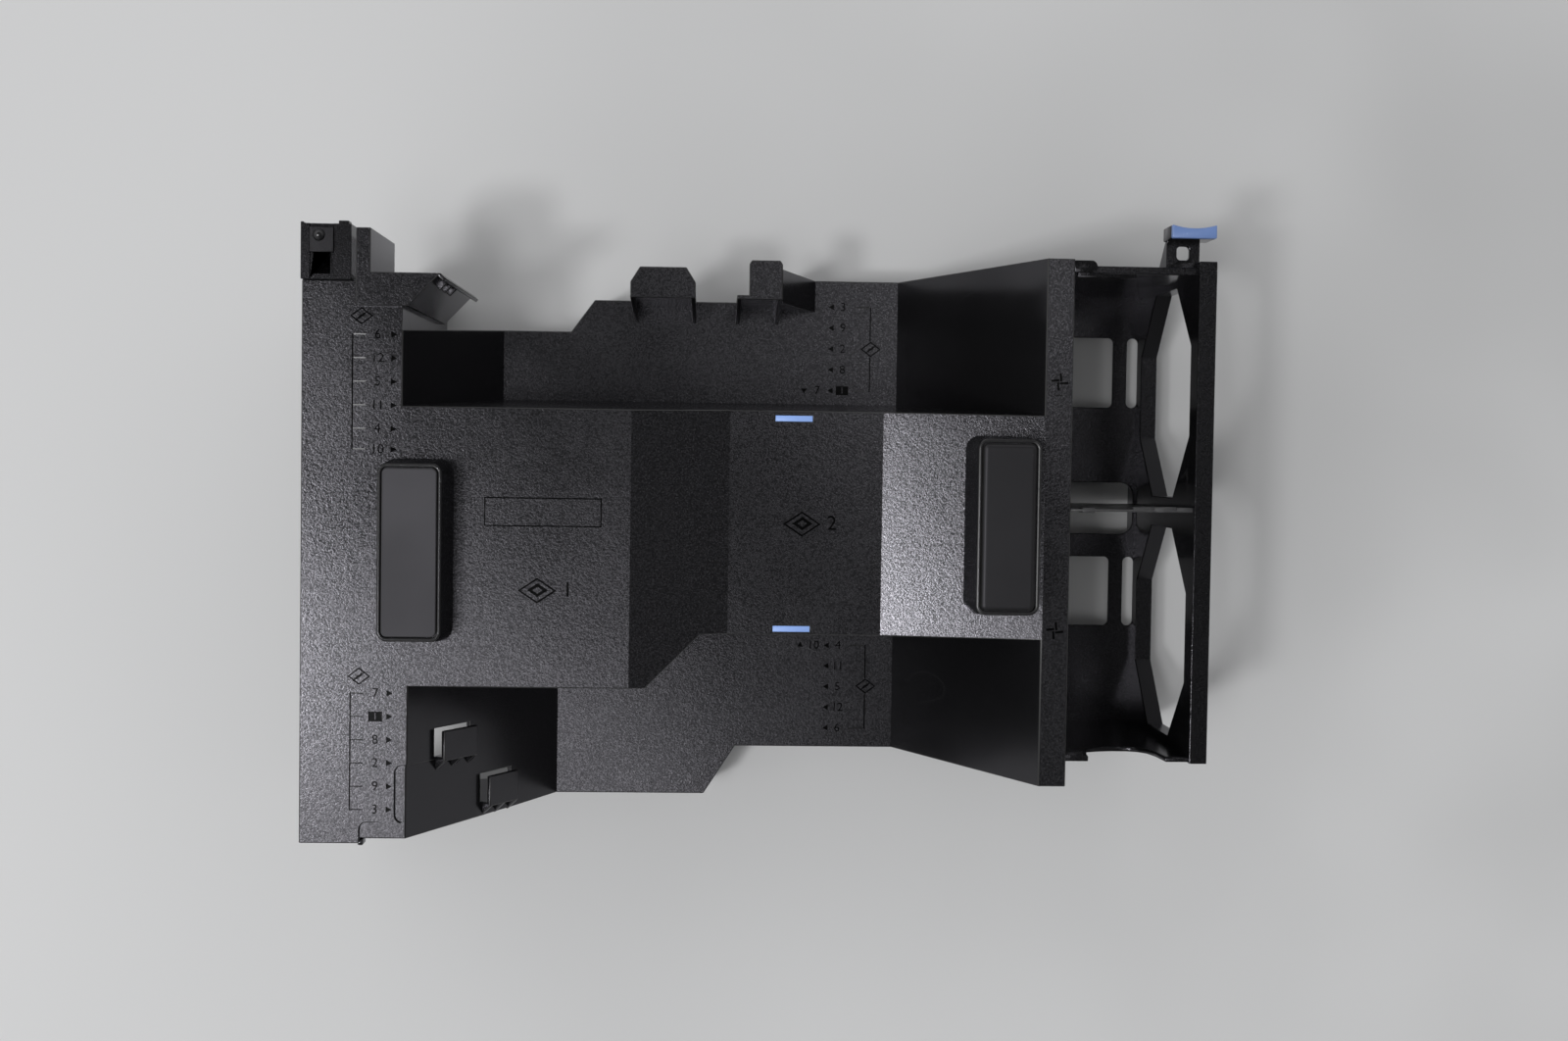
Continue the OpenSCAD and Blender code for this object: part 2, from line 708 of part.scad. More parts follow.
shroud_cover();
fan_cage();
fan_divider();
rear_pad();
front_pad();
north_touch_mark();
south_touch_mark();
latch_cap();
corner_bracket();
switch_block();
bracket_stud();
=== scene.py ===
"""Dressed model of a server air baffle shroud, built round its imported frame."""

import math

import bmesh
import bpy
from mathutils import Matrix, Vector


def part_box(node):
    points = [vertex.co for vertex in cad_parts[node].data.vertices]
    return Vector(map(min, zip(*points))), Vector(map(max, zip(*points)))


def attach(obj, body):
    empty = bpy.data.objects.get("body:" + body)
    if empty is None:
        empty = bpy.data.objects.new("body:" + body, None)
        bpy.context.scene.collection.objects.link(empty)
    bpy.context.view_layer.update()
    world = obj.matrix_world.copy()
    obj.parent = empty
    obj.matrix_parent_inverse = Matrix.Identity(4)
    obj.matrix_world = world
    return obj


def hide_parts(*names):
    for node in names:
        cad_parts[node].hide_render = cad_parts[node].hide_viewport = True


bl_info = {
    "name": "Air Baffle Shroud",
    "version": (1, 0, 0),
    "blender": (4, 5, 0),
    "location": "View3D > Sidebar > Baffle",
    "description": "Grained cover, smooth fan cage, foam pads, engraved slot numbers and a plain stage",
    "category": "Object",
}

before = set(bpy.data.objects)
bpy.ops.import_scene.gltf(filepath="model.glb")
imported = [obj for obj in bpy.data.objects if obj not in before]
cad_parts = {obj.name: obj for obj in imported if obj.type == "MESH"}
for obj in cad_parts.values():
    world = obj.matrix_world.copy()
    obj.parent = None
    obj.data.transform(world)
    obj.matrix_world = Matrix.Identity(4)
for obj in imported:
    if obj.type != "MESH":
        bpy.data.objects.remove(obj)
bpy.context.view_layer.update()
MM = 0.001
SAME_PLACE = 2e-6

# The rear edge of the cover, the fan divider's plane and the table meet here
ORIGIN = Vector((
    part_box("shroud_cover")[0].x,
    (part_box("fan_divider")[0].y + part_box("fan_divider")[1].y) / 2 - 1.6 * MM,
    0,
))


# ---- Sizes and colours that a user would change ----


class ShroudSizes(bpy.types.PropertyGroup):
    edge_width: bpy.props.FloatProperty(
        name="Edge width", description="Width of the chamfer on moulded edges",
        default=0.0004, min=0.0001, max=0.001, subtype="DISTANCE", unit="LENGTH")
    boss_edge: bpy.props.FloatProperty(
        name="Boss edge", description="Radius of the rounded rim of both bosses",
        default=0.0009, min=0.0003, max=0.0012, subtype="DISTANCE", unit="LENGTH")
    front_pad_edge: bpy.props.FloatProperty(
        name="Front pad edge", description="Radius of the front pad's soft top edge",
        default=0.0017, min=0.0005, max=0.0022, subtype="DISTANCE", unit="LENGTH")
    rear_pad_edge: bpy.props.FloatProperty(
        name="Rear pad edge", description="Radius of the rear pad's cut top edge",
        default=0.0004, min=0.0001, max=0.001, subtype="DISTANCE", unit="LENGTH")
    mark_depth: bpy.props.FloatProperty(
        name="Mark depth", description="Depth of engraved numbers and signs",
        default=0.00035, min=0.0001, max=0.0008, subtype="DISTANCE", unit="LENGTH")
    number_height: bpy.props.FloatProperty(
        name="Number height", description="Height of the slot numbers",
        default=0.0039, min=0.002, max=0.006, subtype="DISTANCE", unit="LENGTH")


class ShroudFinish(bpy.types.PropertyGroup):
    plastic: bpy.props.FloatVectorProperty(
        name="Plastic", description="Colour of the moulded cover",
        default=(0.0084, 0.0084, 0.009), subtype="COLOR", min=0, max=1)
    cage: bpy.props.FloatVectorProperty(
        name="Cage", description="Colour of the fan cage",
        default=(0.0053, 0.0053, 0.0056), subtype="COLOR", min=0, max=1)
    foam: bpy.props.FloatVectorProperty(
        name="Foam", description="Colour of the pads",
        default=(0.009, 0.009, 0.0093), subtype="COLOR", min=0, max=1)
    touch: bpy.props.FloatVectorProperty(
        name="Touch points", description="Colour of the marks that show where to lift",
        default=(0.3, 0.48, 1.0), subtype="COLOR", min=0, max=1)
    grain_size: bpy.props.FloatProperty(
        name="Grain size", description="Spacing of the cover's moulded grain",
        default=0.00075, min=0.0002, max=0.002, subtype="DISTANCE", unit="LENGTH")
    table: bpy.props.FloatVectorProperty(
        name="Table", description="Colour of the table and the backdrop",
        default=(0.74, 0.744, 0.75), subtype="COLOR", min=0, max=1)


# ---- Helpers for modelling ----


def put_down():
    """Leave edit mode and select nothing."""
    if bpy.context.object and bpy.context.object.mode != "OBJECT":
        bpy.ops.object.mode_set(mode="OBJECT")
    bpy.ops.object.select_all(action="DESELECT")


def pick(*objs):
    put_down()
    for obj in objs:
        obj.select_set(True)
    bpy.context.view_layer.objects.active = objs[0]
    return objs[0]


def open_up(obj):
    """Enter edit mode on a piece, with all of it selected."""
    pick(obj)
    bpy.ops.object.mode_set(mode="EDIT")
    bpy.ops.mesh.select_all(action="SELECT")


def choose(obj, kind, wanted):
    """In edit mode, select only the edges or the faces that pass a test."""
    bpy.ops.mesh.select_mode(type=kind)
    bpy.ops.mesh.select_all(action="DESELECT")
    shape = bmesh.from_edit_mesh(obj.data)
    for part in shape.edges if kind == "EDGE" else shape.faces:
        if wanted(part):
            part.select_set(True)
    shape.select_flush_mode()
    bmesh.update_edit_mesh(obj.data)


def primitive(add, name, **words):
    put_down()
    add(**words)
    obj = bpy.context.object
    obj.name = obj.data.name = name
    return obj


def settle(obj):
    """Put the object's place into its mesh, so that it sits at the origin."""
    pick(obj)
    bpy.ops.object.transform_apply(location=True, rotation=True, scale=True)
    return obj


def join(objs, name):
    pick(*objs)
    if len(objs) > 1:
        bpy.ops.object.join()
    obj = bpy.context.object
    obj.name = obj.data.name = name
    return obj


def number_by_place(obj):
    """Rebuild a mesh with its corners and faces in the order of their places."""
    old = obj.data
    corners = sorted(range(len(old.vertices)), key=lambda i: tuple(old.vertices[i].co))
    new_number = {old_number: i for i, old_number in enumerate(corners)}
    faces = []
    for face in old.polygons:
        outline = [new_number[i] for i in face.vertices]
        first = outline.index(min(outline))
        faces.append((outline[first:] + outline[:first], face.material_index))
    faces.sort()
    mesh = bpy.data.meshes.new(obj.name)
    mesh.from_pydata([old.vertices[i].co for i in corners], [], [outline for outline, _ in faces])
    mesh.polygons.foreach_set("material_index", [paint for _, paint in faces])
    for material in old.materials:
        mesh.materials.append(material)
    obj.data = mesh
    bpy.data.meshes.remove(old)
    mesh.name = obj.name
    return obj


def add_modifier(obj, kind, **words):
    mod = obj.modifiers.new(kind.title(), kind)
    for key, value in words.items():
        setattr(mod, key, value)
    pick(obj)
    bpy.ops.object.modifier_apply(modifier=mod.name)
    # The exact solver numbers its result by chance, and what comes next follows those numbers
    return number_by_place(obj) if kind == "BOOLEAN" else obj


def copy_of(node, name):
    """A merged copy of a CAD node, with its flat faces whole again."""
    obj = bpy.data.objects.new(name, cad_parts[node].data.copy())
    bpy.context.scene.collection.objects.link(obj)
    obj.data.materials.clear()
    pick(obj)
    bpy.ops.mesh.customdata_custom_splitnormals_clear()
    open_up(obj)
    bpy.ops.mesh.remove_doubles(threshold=SAME_PLACE)
    bpy.ops.mesh.dissolve_limited(angle_limit=math.radians(0.4))
    bpy.ops.object.mode_set(mode="OBJECT")
    return obj


def round_edges(obj, width, segments=2, weight_of=None, sharper_than=25):
    """Bevel the outer edges that are sharper than a fold, each by its own share of the width."""
    shape = bmesh.new()
    shape.from_mesh(obj.data)
    layer = shape.edges.layers.float.new("bevel_weight_edge")
    limit = math.radians(sharper_than)
    for edge in shape.edges:
        if len(edge.link_faces) == 2 and edge.is_convex and edge.calc_face_angle(0) > limit:
            edge[layer] = weight_of(edge) if weight_of else 1.0
    shape.to_mesh(obj.data)
    shape.free()
    return add_modifier(
        obj, "BEVEL", width=width, segments=segments, limit_method="WEIGHT",
        use_clamp_overlap=False, loop_slide=False, material=1, miter_outer="MITER_ARC")


def shade(obj, smooth_below=40, panel_area=60e-6):
    """Shade large panels flat and blend the narrow faces of curves and chamfers."""
    number_by_place(obj)
    shape = bmesh.new()
    shape.from_mesh(obj.data)
    for face in shape.faces:
        face.smooth = face.calc_area() < panel_area
    for edge in shape.edges:
        soft = all(face.smooth for face in edge.link_faces)
        edge.smooth = soft and edge.calc_face_angle(0) < math.radians(smooth_below)
    shape.to_mesh(obj.data)
    shape.free()
    return obj


def dress(obj, slot, *materials):
    """Give a finished piece its materials, and let it ride on the shroud."""
    for i, material in enumerate(materials):
        if i < len(obj.data.materials):
            obj.data.materials[i] = material
        else:
            obj.data.materials.append(material)
    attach(obj, "root")
    put_down()
    return obj


# ---- Helpers for materials ----


# Painted reflection colour: the plastic's shine is tinted a little blue, for a window's daylight
PAINTED_DAYLIGHT_TINT = (0.93, 0.91, 1.0, 1.0)
EFFECTS = {}
PAINT = {}


class Nodes:
    """A short way to add and link the nodes of one tree."""

    def __init__(self, tree):
        self.tree = tree

    def add(self, kind, inputs=None, **settings):
        node = self.tree.nodes.new(kind)
        for key, value in settings.items():
            setattr(node, key, value)
        for key, value in (inputs or {}).items():
            if isinstance(value, bpy.types.NodeSocket):
                self.tree.links.new(value, node.inputs[key])
            else:
                node.inputs[key].default_value = value
        return node

    def math(self, operation, a, b=0.0, clamp=False):
        return self.add("ShaderNodeMath", {0: a, 1: b}, operation=operation, use_clamp=clamp).outputs[0]

    def span(self, value, low, high, to_low=0.0, to_high=1.0):
        return self.add(
            "ShaderNodeMapRange",
            {"Value": value, "From Min": low, "From Max": high, "To Min": to_low, "To Max": to_high},
            interpolation_type="SMOOTHSTEP").outputs["Result"]

    def noise(self, position, scale, detail=2.0, rough=0.5, stretch=None):
        if stretch:
            position = self.add(
                "ShaderNodeMapping", {"Vector": position, "Scale": stretch}).outputs["Vector"]
        return self.add(
            "ShaderNodeTexNoise",
            {"Vector": position, "Scale": scale, "Detail": detail, "Roughness": rough}).outputs["Fac"]

    def bump(self, height, distance, strength=1.0):
        return self.add(
            "ShaderNodeBump", {"Height": height, "Strength": strength, "Distance": distance}).outputs[0]

    def facing(self):
        """The way that the bare face looks, as X, Y and Z."""
        normal = self.add("ShaderNodeNewGeometry").outputs["True Normal"]
        return self.add("ShaderNodeSeparateXYZ", {0: normal}).outputs

    def effect(self, name, **inputs):
        """Place a shared effect, with this material's own values, and give its outputs."""
        sockets = {key.replace("_", " "): value for key, value in inputs.items()}
        return self.add("ShaderNodeGroup", sockets, node_tree=EFFECTS[name]).outputs

    def mix(self, factor, a, b):
        node = self.add("ShaderNodeMix", data_type="RGBA")
        for key, value in ((0, factor), (6, a), (7, b)):
            if isinstance(value, bpy.types.NodeSocket):
                self.tree.links.new(value, node.inputs[key])
            else:
                node.inputs[key].default_value = value
        return node.outputs[2]


def rgba(colour, gain=1.0):
    return (*[min(1.0, c * gain) for c in colour], 1.0)


def group(name, inputs, outputs):
    tree = bpy.data.node_groups.new(name, "ShaderNodeTree")
    for label, kind, value in inputs:
        socket = tree.interface.new_socket(label, in_out="INPUT", socket_type=kind)
        if value is not None:
            socket.default_value = value
    for label, kind in outputs:
        tree.interface.new_socket(label, in_out="OUTPUT", socket_type=kind)
    return tree, Nodes(tree), tree.nodes.new("NodeGroupInput"), tree.nodes.new("NodeGroupOutput")


def grain_group():
    """Spark-eroded mould grain: its height, a pale speckle, and the shine that its pits lose."""
    tree, n, given, out = group(
        "Mould grain",
        [("Position", "NodeSocketVector", None), ("Size", "NodeSocketFloat", 0.0005),
         ("Flat faces only", "NodeSocketFloat", 1.0), ("Pits", "NodeSocketFloat", 0.2)],
        [("Height", "NodeSocketFloat"), ("Speckle", "NodeSocketFloat"), ("Dulling", "NodeSocketFloat")])
    scale = n.math("DIVIDE", 1.0, given.outputs["Size"])
    fine = n.noise(given.outputs["Position"], scale, 2.0, 0.6)
    coarse = n.noise(given.outputs["Position"], n.math("MULTIPLY", scale, 0.37), 1.0, 0.5)
    flat = n.span(n.facing()["Z"], 0.75, 0.93)
    area = n.math("ADD", n.math("SUBTRACT", 1.0, given.outputs["Flat faces only"]),
                  n.math("MULTIPLY", flat, given.outputs["Flat faces only"]), clamp=True)
    height = n.math("ADD", n.span(fine, 0.36, 0.66), n.math("MULTIPLY", n.span(coarse, 0.35, 0.65), 0.6))
    speckle = n.span(n.noise(given.outputs["Position"], n.math("MULTIPLY", scale, 1.6), 0.0), 0.52, 0.72)
    tree.links.new(n.math("MULTIPLY", height, area), out.inputs["Height"])
    tree.links.new(n.math("MULTIPLY", speckle, area), out.inputs["Speckle"])
    # Pits lose their whole share of shine, peaks none, and a face without grain half of it all over
    depth = n.math("MULTIPLY", n.math("SUBTRACT", 0.5, n.span(fine, 0.39, 0.61)), area)
    dulling = n.math("MULTIPLY", n.math("ADD", depth, 0.5), given.outputs["Pits"])
    tree.links.new(dulling, out.inputs["Dulling"])
    return tree


def dust_group():
    """Sparse dust specks, soft hand marks and fine drawn scuffs."""
    tree, n, given, out = group(
        "Dust and scuffs",
        [("Position", "NodeSocketVector", None), ("Dust", "NodeSocketFloat", 0.5),
         ("Scuffs", "NodeSocketFloat", 0.5)],
        [("Specks", "NodeSocketFloat"), ("Scuffs", "NodeSocketFloat"), ("Clouds", "NodeSocketFloat")])
    cells = n.add(
        "ShaderNodeTexVoronoi", {"Vector": given.outputs["Position"], "Scale": 95.0}, feature="F1")
    dot = n.span(cells.outputs["Distance"], 0.0, 0.055, 1.0, 0.0)
    chosen = n.span(n.noise(given.outputs["Position"], 61.0, 0.0), 0.57, 0.62)
    specks = n.math("MULTIPLY", n.math("MULTIPLY", dot, chosen), given.outputs["Dust"], clamp=True)
    bent = n.noise(given.outputs["Position"], 9.0, 2.0, 0.45)
    line = n.math("ABSOLUTE", n.math("SUBTRACT", n.math("FRACT", n.math("MULTIPLY", bent, 7.0)), 0.5))
    drawn = n.math("MULTIPLY", n.span(line, 0.0, 0.012, 1.0, 0.0),
                   n.span(n.noise(given.outputs["Position"], 23.0, 1.0), 0.55, 0.68))
    tree.links.new(specks, out.inputs["Specks"])
    tree.links.new(n.math("MULTIPLY", drawn, given.outputs["Scuffs"], clamp=True), out.inputs["Scuffs"])
    tree.links.new(n.noise(given.outputs["Position"], 14.0, 3.0, 0.55), out.inputs["Clouds"])
    return tree


def edge_wear_group():
    """Nicks and rubbed spots, more of them where Bare is lower."""
    tree, n, given, out = group(
        "Edge wear",
        [("Position", "NodeSocketVector", None), ("Scale", "NodeSocketFloat", 420.0),
         ("Bare", "NodeSocketFloat", 0.55)],
        [("Nicks", "NodeSocketFloat")])
    spots = n.noise(given.outputs["Position"], given.outputs["Scale"], 3.0, 0.7)
    tree.links.new(n.span(spots, given.outputs["Bare"], 0.75), out.inputs["Nicks"])
    return tree


def new_material(name):
    material = bpy.data.materials.new(name)
    material.use_nodes = True
    material.node_tree.nodes.clear()
    n = Nodes(material.node_tree)
    position = n.add("ShaderNodeTexCoord").outputs["Object"]
    return material, n, position


def close_material(n, **sockets):
    shader = n.add("ShaderNodeBsdfPrincipled", {k.replace("_", " "): v for k, v in sockets.items()})
    n.tree.links.new(shader.outputs[0], n.add("ShaderNodeOutputMaterial").inputs[0])


def moulded_plastic(name, colour, grain_size, grain_depth, rough, pits, shine,
                    dust=0.4, scuffs=0.3, waves=0.0):
    """Moulded plastic with grain, hand marks and dust."""
    material, n, position = new_material(name)
    grain = n.effect("grain", Position=position, Size=grain_size, Pits=pits)
    wear = n.effect("dust", Position=position, Dust=dust, Scuffs=scuffs)
    tone = n.mix(grain["Speckle"], rgba(colour), rgba(colour, 3.5))
    tone = n.mix(n.math("MULTIPLY", n.span(wear["Clouds"], 0.35, 0.75), 0.35), tone, rgba(colour, 1.7))
    tone = n.mix(n.math("MULTIPLY", wear["Scuffs"], 0.5), tone, (0.06, 0.06, 0.062, 1))
    tone = n.mix(wear["Specks"], tone, (0.16, 0.155, 0.15, 1))
    gloss = n.math("ADD", n.span(wear["Clouds"], 0.3, 0.7, rough - 0.03, rough + 0.05),
                   n.math("MULTIPLY", grain["Speckle"], -0.10))
    gloss = n.math("ADD", gloss, n.math("MULTIPLY", wear["Scuffs"], 0.15), clamp=True)
    height = grain["Height"]
    if waves:
        sag = n.span(n.noise(position, 45.0, 1.0), 0.2, 0.8)
        height = n.math("ADD", height, n.math("MULTIPLY", sag, waves))
    bump = n.bump(height, grain_depth)
    # On so dark a colour a metallic share only takes shine away
    close_material(n, Base_Color=tone, Metallic=grain["Dulling"], Roughness=gloss, Specular_IOR_Level=shine,
                   Specular_Tint=PAINTED_DAYLIGHT_TINT, Normal=bump)
    return material


def polished_edge(name, colour, rough):
    """The edge that hands and tools have smoothed, with small bright nicks."""
    material, n, position = new_material(name)
    nicks = n.effect("edge_wear", Position=position)["Nicks"]
    tone = n.mix(nicks, rgba(colour, 1.2), rgba(colour, 3.0))
    close_material(n, Base_Color=tone, Roughness=n.span(nicks, 0, 1, rough, rough + 0.2))
    return material


def engraved(name, colour):
    """Engraved marks with painted shade on their dark floors, and a painted highlight of the window on the
    floors that lean south.
    """
    material, n, position = new_material(name)
    # Painted shade: the floors take a sixth to a third of the plastic's colour, and little shine below
    tone = n.mix(n.noise(position, 900.0, 2.0), rgba(colour, 0.15), rgba(colour, 0.37))
    shine = n.span(n.noise(position, 500.0, 1.0), 0.3, 0.7, 0.10, 0.2)
    # Painted highlight: a clear coat only where a floor leans south, toward the window
    leaning = n.span(n.facing()["Y"], -0.1, -0.04, 1.0, 0.0)
    bump = n.bump(n.noise(position, 1500.0, 1.0), 0.01 * MM, 0.4)
    close_material(n, Base_Color=tone, Roughness=shine, Specular_IOR_Level=0.05, Coat_Weight=leaning,
                   Coat_Roughness=0.15, Coat_IOR=1.76, Normal=bump)
    return material


def foam_skin(name, colour, rough, scuffs, dust, shine):
    """Skinned foam: a dull film with fine pores, drawn scuffs and a little dust."""
    material, n, position = new_material(name)
    wear = n.effect("dust", Position=position, Dust=dust, Scuffs=scuffs)
    pores = n.noise(position, 2600.0, 2.0, 0.6)
    tone = n.mix(n.span(wear["Clouds"], 0.35, 0.7), rgba(colour, 0.85), rgba(colour, 1.35))
    tone = n.mix(n.math("MULTIPLY", wear["Scuffs"], 0.6), tone, rgba(colour, 0.3))
    tone = n.mix(wear["Specks"], tone, (0.30, 0.30, 0.29, 1))
    gloss = n.span(wear["Clouds"], 0.3, 0.7, rough - 0.04, rough + 0.06)
    bump = n.bump(pores, 0.03 * MM, 0.6)
    close_material(n, Base_Color=tone, Roughness=gloss, Specular_IOR_Level=shine,
                   Specular_Tint=PAINTED_DAYLIGHT_TINT, Normal=bump, Sheen_Weight=0.08, Sheen_Roughness=0.5)
    return material


def touch_plastic(name, colour, shade_by=1.0):
    """Coloured plastic of the lifting marks and the latch cap."""
    colour = [c * shade_by for c in colour]
    material, n, position = new_material(name)
    clouds = n.noise(position, 160.0, 3.0, 0.6)
    tone = n.mix(clouds, rgba(colour, 0.9), rgba(colour, 1.08))
    worn = n.effect("edge_wear", Position=position, Scale=700.0, Bare=0.62)["Nicks"]
    tone = n.mix(n.math("MULTIPLY", worn, 0.35), tone, (0.6, 0.68, 1.0, 1))
    bump = n.bump(n.noise(position, 1900.0, 1.0), 0.03 * MM, 0.3)
    close_material(n, Base_Color=tone, Roughness=0.42, Normal=bump)
    return material


def thin_sheet(name):
    """Smoky divider sheet with rubbed, brighter patches."""
    material, n, position = new_material(name)
    rubbed = n.span(n.noise(position, 130.0, 3.0, 0.6, stretch=(1, 1, 0.25)), 0.45, 0.7)
    tone = n.mix(rubbed, (0.05, 0.05, 0.052, 1), (0.14, 0.14, 0.145, 1))
    bump = n.bump(n.noise(position, 600.0, 2.0), 0.04 * MM, 0.2)
    close_material(n, Base_Color=tone, Roughness=n.span(rubbed, 0, 1, 0.3, 0.42), Normal=bump)
    return material


def blackened_steel(name):
    """Domed pin head with a dark oxide skin and turning marks."""
    material, n, position = new_material(name)
    turned = n.noise(position, 1800.0, 2.0, 0.6, stretch=(1, 1, 6))
    close_material(
        n, Base_Color=n.mix(turned, (0.03, 0.03, 0.032, 1), (0.08, 0.08, 0.083, 1)),
        Metallic=1.0, Roughness=n.span(turned, 0.2, 0.8, 0.16, 0.26))
    return material


def mix_materials(finish):
    EFFECTS.update(grain=grain_group(), dust=dust_group(), edge_wear=edge_wear_group())
    PAINT.update(
        cover=moulded_plastic("cover_grain", finish.plastic, finish.grain_size, grain_depth=0.012 * MM,
                              rough=0.17, pits=0.56, shine=0.72),
        cover_edge=polished_edge("cover_edge", finish.plastic, 0.33),
        engraved=engraved("engraved_mark", finish.plastic),
        cage=moulded_plastic("cage_smooth", finish.cage, grain_size=0.6 * MM, grain_depth=0.012 * MM,
                             rough=0.17, pits=0.46, shine=0.325, dust=0.3, scuffs=0.8, waves=1.5),
        cage_edge=polished_edge("cage_edge", finish.cage, 0.2),
        rear_pad=foam_skin("rear_pad_skin", finish.foam, rough=0.5, scuffs=1.0, dust=0.1, shine=0.6),
        front_pad=foam_skin("front_pad_skin", finish.foam, rough=0.42, scuffs=0.2, dust=0.9, shine=0.38),
        touch=touch_plastic("touch_blue", finish.touch),
        cap=touch_plastic("cap_blue", finish.touch, shade_by=0.5),
        sheet=thin_sheet("divider_sheet"),
        bracket=moulded_plastic("bracket_smooth", finish.cage, grain_size=0.5 * MM, grain_depth=0.01 * MM,
                                rough=0.17, pits=0.18, shine=0.275, waves=0.8),
        bracket_edge=polished_edge("bracket_edge", finish.cage, 0.25),
        block=moulded_plastic("block_grey", (0.009, 0.009, 0.0093), grain_size=0.5 * MM,
                              grain_depth=0.01 * MM, rough=0.25, pits=0.15, shine=0.325),
        stud=blackened_steel("stud_dark"),
    )


# ---- Engraved marks, in millimetres ----

SLOT_STEP = 9.4
REAR_BRACKET_X = 20.2
DECK_BRACKET_X = 234.6
LEAN = 0.12


def at(x, y, z=0.0):
    """A point given in millimetres from the origin of the cover."""
    return ORIGIN + Vector((x, y, z)) * MM


def surface(x, y):
    """Height of the cover under a point."""
    top = at(x, y, 200)
    hit, point, _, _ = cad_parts["shroud_cover"].ray_cast(top, (0, 0, -1))
    if not hit:
        raise RuntimeError(f"no cover under {x}, {y}")
    return point.z


class Engraver:
    """Makes the solid tools that cut marks into the cover."""

    def __init__(self, sizes):
        self.depth = sizes.mark_depth
        self.height = sizes.number_height
        self.tools = []

    def _sink(self, obj, z, tilt=0.0):
        """Stand a flat or tilted outline on the mark's floor and raise it through the surface."""
        middle = sum(v.co.y for v in obj.data.vertices) / len(obj.data.vertices)
        for v in obj.data.vertices:
            v.co.z += (v.co.y - middle) * tilt
        open_up(obj)
        bpy.ops.mesh.extrude_region_move(TRANSFORM_OT_translate={"value": (0, 0, 2 * self.depth)})
        bpy.ops.mesh.select_all(action="SELECT")
        bpy.ops.mesh.normals_make_consistent(inside=False)
        bpy.ops.object.mode_set(mode="OBJECT")
        obj.location.z = z - self.depth
        self.tools.append(settle(obj))
        return obj

    def bar(self, x0, y0, x1, y1, wide=0.55):
        """A straight groove between two points; one across the part has a floor that leans south."""
        z = surface((x0 + x1) / 2, (y0 + y1) / 2)
        obj = primitive(bpy.ops.mesh.primitive_plane_add, "groove", size=1)
        run = math.hypot(x1 - x0, y1 - y0) + wide
        obj.scale = (run * MM, wide * MM, 1)
        obj.rotation_euler.z = math.atan2(y1 - y0, x1 - x0)
        obj.location = at((x0 + x1) / 2, (y0 + y1) / 2)
        return self._sink(settle(obj), z, LEAN if y0 == y1 else 0.0)

    def arrow(self, x, y, turn, size=2.6):
        """A small triangle that points along turn, in degrees."""
        z = surface(x, y)
        obj = primitive(bpy.ops.mesh.primitive_circle_add, "arrow", vertices=3, fill_type="NGON", radius=1)
        obj.rotation_euler.z = math.radians(turn - 90)
        obj.scale = (0.58 * size * MM, 0.62 * size * MM, 1)
        obj.location = at(x, y)
        return self._sink(settle(obj), z)

    def number(self, text, x, y, height=None, keep=False):
        """Plain digits centred on a point."""
        put_down()
        bpy.ops.object.text_add(location=(0, 0, 0))
        obj = bpy.context.object
        obj.data.body = text
        obj.data.size = (height or self.height) * 1.38
        obj.data.align_x, obj.data.align_y = "CENTER", "CENTER"
        obj.data.resolution_u = 3
        bpy.ops.object.convert(target="MESH")
        obj = bpy.context.object
        obj.location = at(x, y)
        open_up(settle(obj))
        bpy.ops.mesh.remove_doubles(threshold=1e-5)
        bpy.ops.object.mode_set(mode="OBJECT")
        self._sink(obj, surface(x, y))
        if keep:
            self.tools.pop()
        return obj

    def plate(self, x, y, long, wide):
        """A sunk rectangle."""
        obj = primitive(bpy.ops.mesh.primitive_plane_add, "plate", size=1)
        obj.scale = (long * MM, wide * MM, 1)
        obj.location = at(x, y)
        return self._sink(settle(obj), surface(x, y))

    def boxed_number(self, text, x, y):
        """A sunk plate with its digits left standing."""
        plate = self.plate(x, y, 5.6, 4.0)
        digits = self.number(text, x, y, height=0.0029, keep=True)
        add_modifier(plate, "BOOLEAN", operation="DIFFERENCE", solver="EXACT", object=digits)
        bpy.data.objects.remove(digits)

    def ring(self, x, y, long, wide, line, corners=4, turn=0.0):
        """A groove round a diamond or a rectangle."""
        obj = primitive(bpy.ops.mesh.primitive_circle_add, "ring", vertices=corners, fill_type="NGON",
                        radius=1, rotation=(0, 0, math.radians(turn)))
        settle(obj)
        spread = max(v.co.x for v in obj.data.vertices)
        obj.scale = (long / 2 / spread * MM, wide / 2 / spread * MM, 1)
        obj.location = at(x, y)
        open_up(settle(obj))
        bpy.ops.mesh.inset(thickness=line * MM, depth=0)
        bpy.ops.mesh.delete(type="FACE")
        bpy.ops.object.mode_set(mode="OBJECT")
        return self._sink(obj, surface(x, y))

    def chip_sign(self, x, y, text):
        """A processor sign: a leaning square with its lid, and the bay's number."""
        self.ring(x, y, 15.6, 10.4, 0.7)
        self.ring(x + 0.2, y + 0.2, 8.4, 5.6, 1.2)
        self.number(text, x + 12.3, y + 0.3, height=0.0062)

    def memory_sign(self, x, y):
        """A memory sign: a leaning square with three standing fins."""
        self.ring(x, y, 9.2, 7.0, 0.55)
        for i in (-1, 0, 1):
            across, up = x + 1.25 * i, y + 0.8 * i
            self.bar(across - 0.9, up - 1.0, across + 0.9, up + 1.0, 0.5)

    def fan_sign(self, x, y):
        """Four blades round a small hub."""
        for i in range(4):
            a = math.radians(45 + 90 * i)
            b = a + math.radians(38)
            self.bar(x + 0.9 * math.cos(a), y + 0.9 * math.sin(a),
                     x + 3.1 * math.cos(b), y + 3.1 * math.sin(b), 0.9)
        self.bar(x - 1.2, y - 5.4, x + 1.2, y - 5.4, 0.5)

